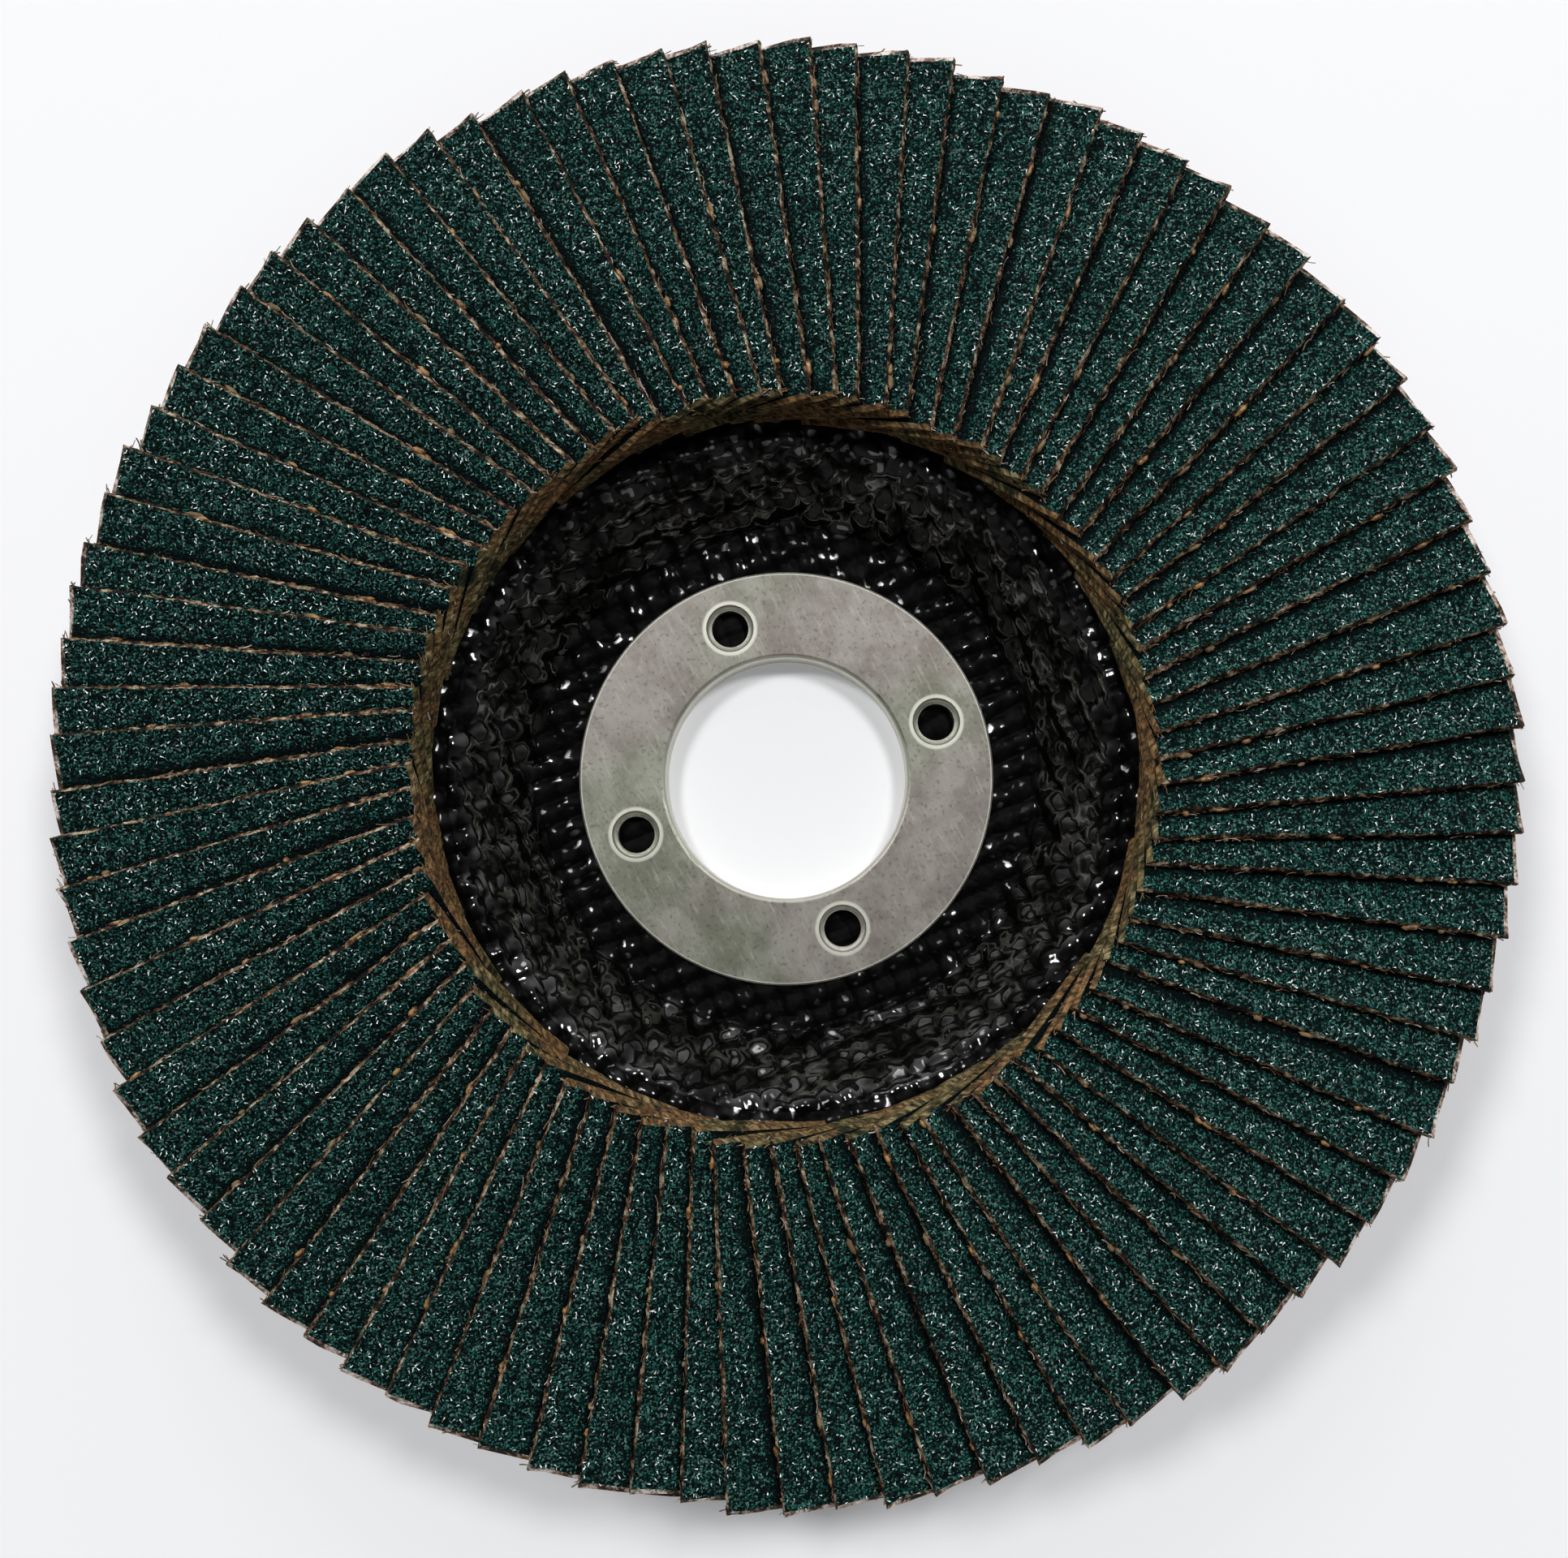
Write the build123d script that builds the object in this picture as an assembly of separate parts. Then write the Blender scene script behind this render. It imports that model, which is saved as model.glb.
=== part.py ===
from build123d import *
import os
from math import asin, cos, degrees, radians, sin, sqrt, tan

# A flap disc for a hand-held angle grinder, lying on the back of its hub with the abrasive up.
# Millimetres. Z is the spindle axis, and z = 0 is the hub's back face.

# --- driving dimensions ---
disc_diameter = 125.0  # over the outer corners of the flaps
bore_diameter = 22.23  # spindle bore

plate_thickness = 2.4  # hot-pressed glass cloth and resin
plate_overhang = 8.0  # how far the flaps reach past the plate's rim
plate_rim_chamfer = 0.5
well_depth = 8.4  # from the flap seat down to the hub
step_angle = 54.0  # slope of the well's wall, in degrees
step_bend = 2.0  # inside radius of the two bends

sheet_thickness = 0.6  # the ring's steel
flange_width = 8.0  # from the bore out to the ring's edge
flange_edge_chamfer = 0.15
bore_mouth_round = 0.45
collar_clearance = 0.05  # between the collar and the plate
nut_margin = 4.4  # flat hub left outside the ring

eyelet_count = 4
eyelet_bore = 3.4
eyelet_draw = 1.4  # how deep each eyelet is drawn below the ring's face
eyelet_mouth_round = 0.5
eyelet_inset = 4.3  # from the ring's edge in to the eyelets' circle
eyelet_first_angle = 20.6
eyelet_clearance = 0.05

flap_count = 90
flaps_per_node = 2
cloth_thickness = 0.45
grit_thickness = 0.3
flap_width = 12.6  # along the cloth, from the glued foot to the free edge
flap_clearance = 0.06  # between neighbouring flaps, left for the glue film
free_edge_offset = 6.9  # from the disc's axis to the line of each free edge
flap_bow = 5.0  # half the bend across a flap, in degrees
flap_setback = 1.4  # from the top of the well's wall to the flaps
first_flap_angle = 0.93  # where the first flap lies, counter-clockwise from X
edge_scatter = 0.25  # hand-set flaps: free edges wander by this much
reach_scatter = 0.3  # and their ends by this much
crowding = 1.27  # they drift by this many degrees towards one side of the disc
crowding_start = 32.8
second_crowding = 0.42  # and by this many towards two opposite sides
second_crowding_start = -54.5

glue_under_flaps = 0.15
glue_depth = 1.3
glue_inset = 0.6  # from the flaps' inner ends to the glue
glue_rim_margin = 1.5  # from the glue to the plate's rim

# --- dimensions that follow ---
bore_radius = bore_diameter / 2
collar_radius = bore_radius + sheet_thickness
flange_radius = bore_radius + flange_width
ring_face_z = plate_thickness + sheet_thickness
eyelet_circle_radius = flange_radius - eyelet_inset
eyelet_radius = eyelet_bore / 2
eyelet_wall_radius = eyelet_radius + sheet_thickness

hub_flat_radius = flange_radius + nut_margin
flap_seat_z = plate_thickness + well_depth
step_top_radius = hub_flat_radius + well_depth / tan(radians(step_angle))
plate_radius = disc_diameter / 2 - plate_overhang

flap_thickness = cloth_thickness + grit_thickness
flap_inner_reach = step_top_radius + flap_setback
flap_outer_reach = sqrt((disc_diameter / 2) ** 2 - free_edge_offset**2)
flap_pitch_angle = 360 / flap_count
flap_foot_z = flap_seat_z + glue_under_flaps


def revolved(corners, radii):
    """A solid of revolution about Z, from a closed (radius, height) outline with rounded corners."""
    outline = FilletPolyline(*corners, radius=radii, close=True)
    return revolve(Plane.XZ * make_face(outline), Axis.Z)


def eyelet_places():
    """The eyelets' centres, on the hub's front face."""
    circle = PolarLocations(eyelet_circle_radius, eyelet_count, start_angle=eyelet_first_angle)
    return [Pos(0, 0, plate_thickness) * place for place in circle]


def backing_plate():
    """A dished plate of one thickness: flat hub, conical step and the flat ring that carries the flaps."""
    bend_shift = plate_thickness * tan(radians(step_angle / 2))
    bore = collar_radius + collar_clearance
    outside_bend = step_bend + plate_thickness
    back_seat_z = flap_seat_z - plate_thickness
    corners = [
        (bore, 0),
        (hub_flat_radius + bend_shift, 0),
        (step_top_radius + bend_shift, back_seat_z),
        (plate_radius - plate_rim_chamfer, back_seat_z),
        (plate_radius, back_seat_z + plate_rim_chamfer),
        (plate_radius, flap_seat_z - plate_rim_chamfer),
        (plate_radius - plate_rim_chamfer, flap_seat_z),
        (step_top_radius, flap_seat_z),
        (hub_flat_radius, plate_thickness),
        (bore, plate_thickness),
    ]
    radii = [0, outside_bend, step_bend, 0, 0, 0, 0, outside_bend, step_bend, 0]
    plate = revolved(corners, radii)
    pocket_depth = eyelet_draw - sheet_thickness + eyelet_clearance
    pocket = Cylinder(
        eyelet_wall_radius + eyelet_clearance,
        pocket_depth,
        align=(Align.CENTER, Align.CENTER, Align.MAX),
    )
    return plate - [place * pocket for place in eyelet_places()]


def centre_ring():
    """A pressed steel ring: a flange on the hub's front, a collar lining the bore, drawn eyelets."""
    corners = [
        (bore_radius, 0),
        (collar_radius, 0),
        (collar_radius, plate_thickness),
        (flange_radius - flange_edge_chamfer, plate_thickness),
        (flange_radius, plate_thickness + flange_edge_chamfer),
        (flange_radius, ring_face_z - flange_edge_chamfer),
        (flange_radius - flange_edge_chamfer, ring_face_z),
        (bore_radius, ring_face_z),
    ]
    ring = revolved(corners, [0, 0, 0, 0, 0, 0, 0, bore_mouth_round])
    from_face = (Align.CENTER, Align.CENTER, Align.MAX)
    at_face = Pos(0, 0, sheet_thickness)
    wall = at_face * Cylinder(eyelet_wall_radius, eyelet_draw, align=from_face)
    mouth = (eyelet_radius + eyelet_mouth_round, 0)
    throat = (eyelet_radius, -eyelet_mouth_round)
    below = -eyelet_draw - sheet_thickness
    drill_outline = [
        Line((0, below), (0, 0)),
        Line((0, 0), mouth),
        RadiusArc(mouth, throat, eyelet_mouth_round),
        Line(throat, (eyelet_radius, below)),
        Line((eyelet_radius, below), (0, below)),
    ]
    drill = at_face * revolve(Plane.XZ * make_face(drill_outline), Axis.Z)
    places = eyelet_places()
    return ring + [place * wall for place in places] - [place * drill for place in places]


def flap_lean(reach):
    """How steeply a flap rises, this far out: lying on its neighbour, it is flatter near the rim."""
    pitch = reach * tan(radians(flap_pitch_angle))
    flattest = asin((flap_thickness + flap_clearance) / pitch)
    return degrees(flattest) + flap_bow


def flap_section(reach, width):
    """A cut across a flap: cloth below, grit above, bent about a line along the flap's length."""
    lean = flap_lean(reach)
    bend_radius = width / 2 / sin(radians(flap_bow))
    foot_angle = 90 - lean - flap_bow
    foot = (flap_width * cos(radians(lean)) - free_edge_offset, flap_foot_z)
    bend_centre = (
        foot[0] - bend_radius * cos(radians(foot_angle)),
        foot[1] - bend_radius * sin(radians(foot_angle)),
    )
    cloth = CenterArc(bend_centre, bend_radius, foot_angle, 2 * flap_bow)
    grit = CenterArc(bend_centre, bend_radius + flap_thickness, foot_angle, 2 * flap_bow)
    return make_face([cloth, Line(cloth @ 1, grit @ 1), grit, Line(grit @ 0, cloth @ 0)])


def flap_angle(number):
    """Where a flap lies round the disc, in degrees: hand-set flaps crowd towards some sides."""
    even = number * flap_pitch_angle
    drift = crowding * sin(radians(even + crowding_start))
    second_drift = second_crowding * sin(radians(2 * even + second_crowding_start))
    return first_flap_angle + even + drift + second_drift


def flap(number):
    """One flap, twisted to lie on its neighbours, in its own place; no two are set quite alike."""
    width = flap_width + edge_scatter * sin(number * number * 2.4)
    reach_wander = reach_scatter * sin(number * number * 1.7 + 1)
    ends = []
    for reach in (flap_inner_reach, flap_outer_reach):
        across = Plane(origin=(reach + reach_wander, 0, 0), x_dir=(0, 1, 0), z_dir=(1, 0, 0))
        ends.append(across * flap_section(reach, width))
    return Rot(0, 0, flap_angle(number)) * loft(ends, ruled=True)


def adhesive_bed(flaps):
    """The ring of set glue on the plate, moulded round the foot of every flap."""
    bed_inner = flap_inner_reach + glue_inset
    bed_outer = plate_radius - glue_rim_margin
    on_seat = Pos(0, 0, flap_seat_z)
    upright = (Align.CENTER, Align.CENTER, Align.MIN)
    disc = on_seat * Cylinder(bed_outer, glue_depth, align=upright)
    hole = on_seat * Cylinder(bed_inner, glue_depth, align=upright)
    return disc - hole - flaps


def main():
    os.makedirs("parts", exist_ok=True)
    flaps = [flap(number) for number in range(flap_count)]
    export_step(backing_plate(), "parts/backing_plate.step")
    export_step(centre_ring(), "parts/centre_ring.step")
    export_step(adhesive_bed(flaps), "parts/adhesive_bed.step")
    for node in range(flap_count // flaps_per_node):
        first = node * flaps_per_node
        group = Compound(children=flaps[first : first + flaps_per_node])
        export_step(group, f"parts/flap_pair_{node + 1:02d}.step")


main()
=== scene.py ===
import math

import bpy
import numpy as np
from mathutils import Matrix, Vector

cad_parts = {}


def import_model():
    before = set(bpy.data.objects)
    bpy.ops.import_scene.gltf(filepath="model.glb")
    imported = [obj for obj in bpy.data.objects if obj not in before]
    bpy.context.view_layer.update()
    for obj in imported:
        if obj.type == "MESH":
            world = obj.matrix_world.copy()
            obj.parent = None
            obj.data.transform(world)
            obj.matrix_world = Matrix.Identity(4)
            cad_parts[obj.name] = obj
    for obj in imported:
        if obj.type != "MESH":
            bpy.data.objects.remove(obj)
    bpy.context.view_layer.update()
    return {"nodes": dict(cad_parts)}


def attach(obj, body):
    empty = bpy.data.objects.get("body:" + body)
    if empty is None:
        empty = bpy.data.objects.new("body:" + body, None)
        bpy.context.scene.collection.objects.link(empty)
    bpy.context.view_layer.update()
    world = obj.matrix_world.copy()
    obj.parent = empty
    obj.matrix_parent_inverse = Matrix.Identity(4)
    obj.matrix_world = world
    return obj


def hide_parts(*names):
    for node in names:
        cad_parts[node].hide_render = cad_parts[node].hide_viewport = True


# A flap disc for a hand-held angle grinder, lying on the back of its hub with the abrasive up.
# Lengths are named in millimetres, and MM turns them into Blender's metres.
MM = 0.001

# --- the disc's own sizes, in millimetres and radians, as the CAD has them ---
DISC_DIAMETER = 125.0
BORE_DIAMETER = 22.23

PLATE = 2.4
PLATE_OVERHANG = 8.0  # how far the flaps reach past the plate's rim
RIM_CHAMFER = 0.5
WELL_DEPTH = 8.4  # from the flaps' seat down to the hub
STEP_ANGLE = math.radians(54.0)  # slope of the well's wall
STEP_BEND = 2.0  # inside radius of the two bends

SHEET = 0.6  # the ring's steel
FLANGE_WIDTH = 8.0
COLLAR_CLEARANCE = 0.05
NUT_MARGIN = 4.4  # flat hub left outside the ring

EYELETS = 4
EYELET_BORE = 3.4
EYELET_DRAW = 1.4  # how deep each eyelet is drawn below the ring's face
EYELET_INSET = 4.3  # from the ring's edge in to the eyelets' circle
EYELET_CLEARANCE = 0.05
FIRST_EYELET_ANGLE = math.radians(20.6)

FLAP_COUNT = 90
CLOTH = 0.45
GRIT = 0.3
FLAP_WIDTH = 12.6
FLAP_CLEARANCE = 0.06
EDGE_OFFSET = 6.9  # from the axis to the line of each free edge
BOW = math.radians(5.0)  # half the bend across a flap
FLAP_SETBACK = 1.4  # from the top of the well's wall to the flaps
FIRST_FLAP_ANGLE = math.radians(0.93)
EDGE_SCATTER = 0.25  # hand-set flaps: free edges wander by this much
REACH_SCATTER = 0.3  # and their ends by this much
CROWDING = math.radians(1.27)  # they drift this far towards one side of the disc
CROWDING_START = math.radians(32.8)
SECOND_CROWDING = math.radians(0.42)  # and this far towards two opposite sides
SECOND_CROWDING_START = math.radians(-54.5)
GLUE_UNDER_FLAPS = 0.15

# --- sizes that follow ---
BORE_RADIUS = BORE_DIAMETER / 2
FLANGE_RADIUS = BORE_RADIUS + FLANGE_WIDTH
HUB_FLAT_RADIUS = FLANGE_RADIUS + NUT_MARGIN
SEAT_Z = PLATE + WELL_DEPTH
STEP_TOP_RADIUS = HUB_FLAT_RADIUS + WELL_DEPTH / math.tan(STEP_ANGLE)
PLATE_RADIUS = DISC_DIAMETER / 2 - PLATE_OVERHANG
PLATE_BORE = BORE_RADIUS + SHEET + COLLAR_CLEARANCE
EYELET_CIRCLE = FLANGE_RADIUS - EYELET_INSET
EYELET_WALL = EYELET_BORE / 2 + SHEET  # radius of an eyelet's outside
EYELET_POCKET = EYELET_DRAW - SHEET + EYELET_CLEARANCE  # depth of its pocket in the plate
FLAP_THICKNESS = CLOTH + GRIT
INNER_REACH = STEP_TOP_RADIUS + FLAP_SETBACK
OUTER_REACH = math.sqrt((DISC_DIAMETER / 2) ** 2 - EDGE_OFFSET**2)
FLAP_LENGTH = OUTER_REACH - INNER_REACH
PITCH = 2 * math.pi / FLAP_COUNT
FOOT_Z = SEAT_Z + GLUE_UNDER_FLAPS

FLAPS_PER_NODE = 2
SECTORS = 5  # the fan is made in this many like parts
FLAPS_PER_SECTOR = FLAP_COUNT // SECTORS


# --- node trees written as sums ---
class Sum:
    """A node's output in a sum: every operator adds the Math node that it needs."""

    def __init__(self, graph, socket):
        self.graph = graph
        self.socket = socket

    def math(self, operation, *others):
        return self.graph.sum_of(operation, self, *others)

    def __add__(self, other):
        return self.math("ADD", other)

    def __radd__(self, other):
        return self.math("ADD", other)

    def __sub__(self, other):
        return self.math("SUBTRACT", other)

    def __rsub__(self, other):
        return self.graph.sum_of("SUBTRACT", other, self)

    def __mul__(self, other):
        return self.math("MULTIPLY", other)

    def __rmul__(self, other):
        return self.math("MULTIPLY", other)

    def __truediv__(self, other):
        return self.math("DIVIDE", other)

    def __pow__(self, other):
        return self.math("POWER", other)

    def __gt__(self, other):
        return self.math("GREATER_THAN", other)

    def __lt__(self, other):
        return self.math("LESS_THAN", other)

    def sin(self):
        return self.math("SINE")

    def cos(self):
        return self.math("COSINE")

    def floor(self):
        return self.math("FLOOR")

    def abs(self):
        return self.math("ABSOLUTE")

    def most(self, other):
        return self.math("MAXIMUM", other)

    def least(self, other):
        return self.math("MINIMUM", other)

    def ease(self, low, high):
        """0 below low, 1 above high, and a smooth rise between them."""
        ranged = {"interpolation_type": "SMOOTHSTEP"}
        return self.graph.node("ShaderNodeMapRange", ranged, {0: self, 1: low, 2: high})

    def fall(self, low, high):
        """1 below low, 0 above high, and a smooth fall between them."""
        return 1.0 - self.ease(low, high)

    def beside(self, output):
        """Another output of the same node."""
        return Sum(self.graph, self.socket.node.outputs[output])


class Graph:
    """A shader or geometry tree that is written node by node."""

    def __init__(self, tree):
        self.tree = tree

    def node(self, kind, settings=None, sockets=None, output=0):
        """Adds a node: its settings first, then the value or link of each socket."""
        made = self.tree.nodes.new(kind)
        for name, value in (settings or {}).items():
            if name == "stops":
                self.stops(made.color_ramp, value)
            else:
                setattr(made, name, value)
        for name, value in (sockets or {}).items():
            self.feed(made.inputs[name], value)
        return Sum(self, made.outputs[output]) if made.outputs else made

    def feed(self, socket, value):
        """Links a sum, or each of a list of them, to a socket, or sets its plain value."""
        if isinstance(value, Sum):
            self.tree.links.new(value.socket, socket)
        elif isinstance(value, list):
            for item in value:
                self.tree.links.new(item.socket, socket)
        else:
            socket.default_value = value

    def stops(self, ramp, stops):
        while len(ramp.elements) < len(stops):
            ramp.elements.new(1.0)
        for element, (place, colour) in zip(ramp.elements, stops):
            element.position = place
            element.color = (*colour, 1.0)

    def sum_of(self, operation, *values):
        return self.node("ShaderNodeMath", {"operation": operation}, dict(enumerate(values)))

    def vector(self, x, y, z):
        return self.node("ShaderNodeCombineXYZ", None, {0: x, 1: y, 2: z})

    def parts(self, vector):
        """The X, Y and Z of a vector."""
        split = self.node("ShaderNodeSeparateXYZ", None, {0: vector})
        return split, split.beside(1), split.beside(2)

    def noise(self, place, scale, detail=2.0, roughness=0.5):
        sockets = {"Vector": place, "Scale": scale, "Detail": detail, "Roughness": roughness}
        return self.node("ShaderNodeTexNoise", None, sockets)


class Finish(Graph):
    """A material: one Principled shader and what varies over the surface."""

    def __init__(self, name, colour, roughness, metallic=0.0, specular=0.5, coat=0.0):
        self.material = bpy.data.materials.new(name)
        self.material.use_nodes = True
        super().__init__(self.material.node_tree)
        self.shader = self.tree.nodes["Principled BSDF"]
        self.set("Base Color", self.rgba(colour))
        self.set("Roughness", roughness)
        self.set("Metallic", metallic)
        self.set("Specular IOR Level", specular)
        self.set("Coat Weight", coat)
        self.set("Coat Roughness", 0.1)
        self.material.diffuse_color = self.rgba(colour)

    def place(self):
        return self.node("ShaderNodeTexCoord", output="Object")

    def attribute(self, name):
        return self.node("ShaderNodeAttribute", {"attribute_name": name}, output="Fac")

    def mix(self, share, low, high):
        sockets = {"Factor": share, 6: self.rgba(low), 7: self.rgba(high)}
        return self.node("ShaderNodeMix", {"data_type": "RGBA"}, sockets, output=2)

    def rgba(self, colour):
        return colour if isinstance(colour, Sum) else (*colour, 1.0)

    def ramp(self, share, stops):
        return self.node("ShaderNodeValToRGB", {"stops": stops}, {0: share})

    def set(self, name, value):
        self.feed(self.shader.inputs[name], value)

    def bump(self, height, strength, distance):
        """Relief in the shading, at most this many mm deep."""
        sockets = {"Height": height, "Strength": strength, "Distance": distance * MM}
        self.set("Normal", self.node("ShaderNodeBump", None, sockets))


def from_axis(x, y):
    """How far a place is from the axis, on the level."""
    return (x * x + y * y) ** 0.5


# --- finishes ---
CREVICE = (0.25, 1.4)  # mm from the next flap: painted crevice shade, darkest up to the first and none past the second
# how far the painted crevice shade moves the tones towards the dark ones
CREVICE_PAINTED_SHADE = 0.75
PATCH_SHADE = 0.45
TWILL_PITCH = 0.6 * MM
END_CHANGE = (40.0 * MM, 45.0 * MM)  # from the axis: the well's ends are within it, the rim's outside
FLOOR_GLOW = 0.17  # how much of the floor is plain white to the eye


def grit_tone_and_painted_shade(chance, patch, crevice_gap):
    """Where a grain lies from dark to pale: by chance, in patches, and darker close to the next flap,
    where the darkening is painted shade of the crevice.
    """
    return chance + patch * PATCH_SHADE - crevice_gap.fall(*CREVICE) * CREVICE_PAINTED_SHADE


def bond_coat():
    """The coat between the standing grains: more grains, level with the resin, dark where they part, with
    painted crevice shade near the next flap.
    """
    f = Finish("bond_coat", (0.003, 0.02, 0.017), 0.75, specular=0.08)
    place = f.place()
    sockets = {"Vector": place, "Scale": 4500.0}
    cells = f.node("ShaderNodeTexVoronoi", {"feature": "F1"}, sockets, output="Color")
    chance = f.parts(cells)[0]
    off = cells.beside("Distance")
    patch = f.noise(place, 1000.0, 1.0) - 0.5
    tones = [
        (0.2, (0.0006, 0.0035, 0.0035)),
        (0.42, (0.002, 0.019, 0.016)),
        (0.68, (0.011, 0.076, 0.062)),
        (0.86, (0.02, 0.11, 0.09)),
        (0.95, (0.13, 0.22, 0.195)),
    ]
    # the tones darken towards the next flap's edge: painted shade of the crevice
    tone = f.ramp(grit_tone_and_painted_shade(chance, patch, f.attribute("crevice_gap")), tones)
    parting = off.ease(0.42, 0.62)
    f.set("Base Color", f.mix(parting, tone, (0.0006, 0.004, 0.004)))
    f.bump(1.0 - off, 0.8, 0.2)
    return f.material


def grain(name, colour, roughness, specular=0.35):
    """Abrasive grains of one tone, glassy where they broke."""
    return Finish(name, colour, roughness, specular=specular).material


def cut_cloth():
    """The cut edge of the backing cloth: dark resin, brown and tan yarn ends and pale knots."""
    f = Finish("cut_cloth", (0.18, 0.125, 0.07), 0.8, specular=0.2)
    place = f.place()
    run = f.noise(place, 1000.0, 1.0, 0.6)
    yarns = f.noise(place, 3500.0, 2.0, 0.6)
    tones = [
        (0.44, (0.008, 0.005, 0.004)),
        (0.49, (0.06, 0.028, 0.015)),
        (0.55, (0.2, 0.13, 0.07)),
        (0.64, (0.52, 0.42, 0.31)),
    ]
    f.set("Base Color", f.ramp(run * 0.6 + yarns * 0.4, tones))
    f.bump(yarns, 0.8, 0.2)
    return f.material


def cut_end():
    """The cut ends of the flaps: pinkish white over brown at the rim, olive and ochre round the well."""
    f = Finish("cut_end", (0.3, 0.22, 0.17), 0.85, specular=0.2)
    place = f.place()
    x, y, z = f.parts(place)
    run = f.noise(place, 500.0, 1.0, 0.6)
    yarns = f.noise(place, 3000.0, 2.0, 0.6)
    frayed = [
        (0.43, (0.02, 0.012, 0.008)),
        (0.48, (0.13, 0.08, 0.055)),
        (0.54, (0.42, 0.32, 0.26)),
        (0.62, (0.78, 0.68, 0.64)),
    ]
    at_rim = f.ramp(run * 0.6 + yarns * 0.4, frayed)
    strands = f.noise(f.vector(x, y, z * 5.0), 900.0, 2.0, 0.6)
    olive = [
        (0.4, (0.008, 0.012, 0.005)),
        (0.48, (0.055, 0.048, 0.02)),
        (0.56, (0.15, 0.115, 0.048)),
        (0.68, (0.36, 0.3, 0.17)),
    ]
    ochre = [
        (0.36, (0.006, 0.016, 0.011)),
        (0.48, (0.1, 0.05, 0.02)),
        (0.62, (0.28, 0.17, 0.07)),
    ]
    olive_strands = f.ramp(strands * 0.7 + run * 0.3, olive)
    ochre_strands = f.ramp(strands * 0.7 + yarns * 0.3, ochre)
    hue = f.noise(place, 150.0, 2.0, 0.6).ease(0.42, 0.6)
    round_well = f.mix(hue, olive_strands, ochre_strands)
    at_well = from_axis(x, y).fall(*END_CHANGE)
    f.set("Base Color", f.mix(at_well, at_rim, round_well))
    f.bump(yarns, 0.8, 0.2)
    return f.material


def cloth_back():
    """The uncoated back of the flaps: brown-stained twill."""
    f = Finish("cloth_back", (0.2, 0.12, 0.07), 0.85, specular=0.2)
    place = f.place()
    x, y, _ = f.parts(place)
    frequency = 2 * math.pi / TWILL_PITCH
    warp = ((x + y * 0.35) * frequency).sin()
    weft = ((y - x * 0.35) * frequency).sin()
    weave = warp * weft * 0.5 + 0.5
    stain = f.noise(place, 120.0, 3.0)
    ground = f.mix(stain.ease(0.3, 0.7), (0.1, 0.05, 0.028), (0.24, 0.15, 0.085))
    f.set("Base Color", f.mix(weave * 0.5, ground, (0.05, 0.028, 0.016)))
    f.bump(weave, 0.5, 0.1)
    return f.material


def yarn(name, colour):
    """Loose yarn of one colour, darker where the resin soaked in."""
    f = Finish(name, colour, 0.75, specular=0.3)
    shade = f.noise(f.place(), 1100.0, 2.0)
    soaked = tuple(0.45 * part for part in colour)
    f.set("Base Color", f.mix(shade.ease(0.35, 0.7), soaked, colour))
    return f.material


def resin_bead():
    """Ochre beads of resin that ran out along some of the edges."""
    f = Finish("resin_bead", (0.3, 0.13, 0.03), 0.4, specular=0.5)
    shade = f.noise(f.place(), 2200.0, 2.0)
    f.set("Base Color", f.mix(shade.ease(0.35, 0.65), (0.1, 0.04, 0.012), (0.4, 0.22, 0.08)))
    return f.material


def pressed_glass_cloth():
    """Black resin over woven glass: glossy where the yarns stand up, dull in the gaps."""
    f = Finish("pressed_glass_cloth", (0.003, 0.003, 0.0027), 0.5, specular=0.04, coat=1.0)
    f.set("Coat IOR", 1.85)
    place = f.place()
    lumps = f.noise(place, 1300.0, 2.0, 0.5)
    f.set("Base Color", f.mix(lumps.ease(0.5, 0.8), (0.0008, 0.0009, 0.0007), (0.0035, 0.0035, 0.0036)))
    height = f.attribute("yarn_height")
    flooded = f.noise(place, 350.0, 2.0).ease(0.38, 0.6) * 0.85 + 0.15
    f.set("Coat Weight", height.ease(0.25, 0.6) * flooded)
    f.bump(height + lumps * 0.04, 1.0, 0.6)
    return f.material


def eyelet_distance(x, y):
    """How far, in mm, a place is from the middle of the nearest eyelet."""
    nearest = 1000.0
    for eyelet in range(EYELETS):
        angle = FIRST_EYELET_ANGLE + eyelet * 2 * math.pi / EYELETS
        off_x = x - EYELET_CIRCLE * math.cos(angle)
        off_y = y - EYELET_CIRCLE * math.sin(angle)
        nearest = from_axis(off_x, off_y).least(nearest)
    return nearest


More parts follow.
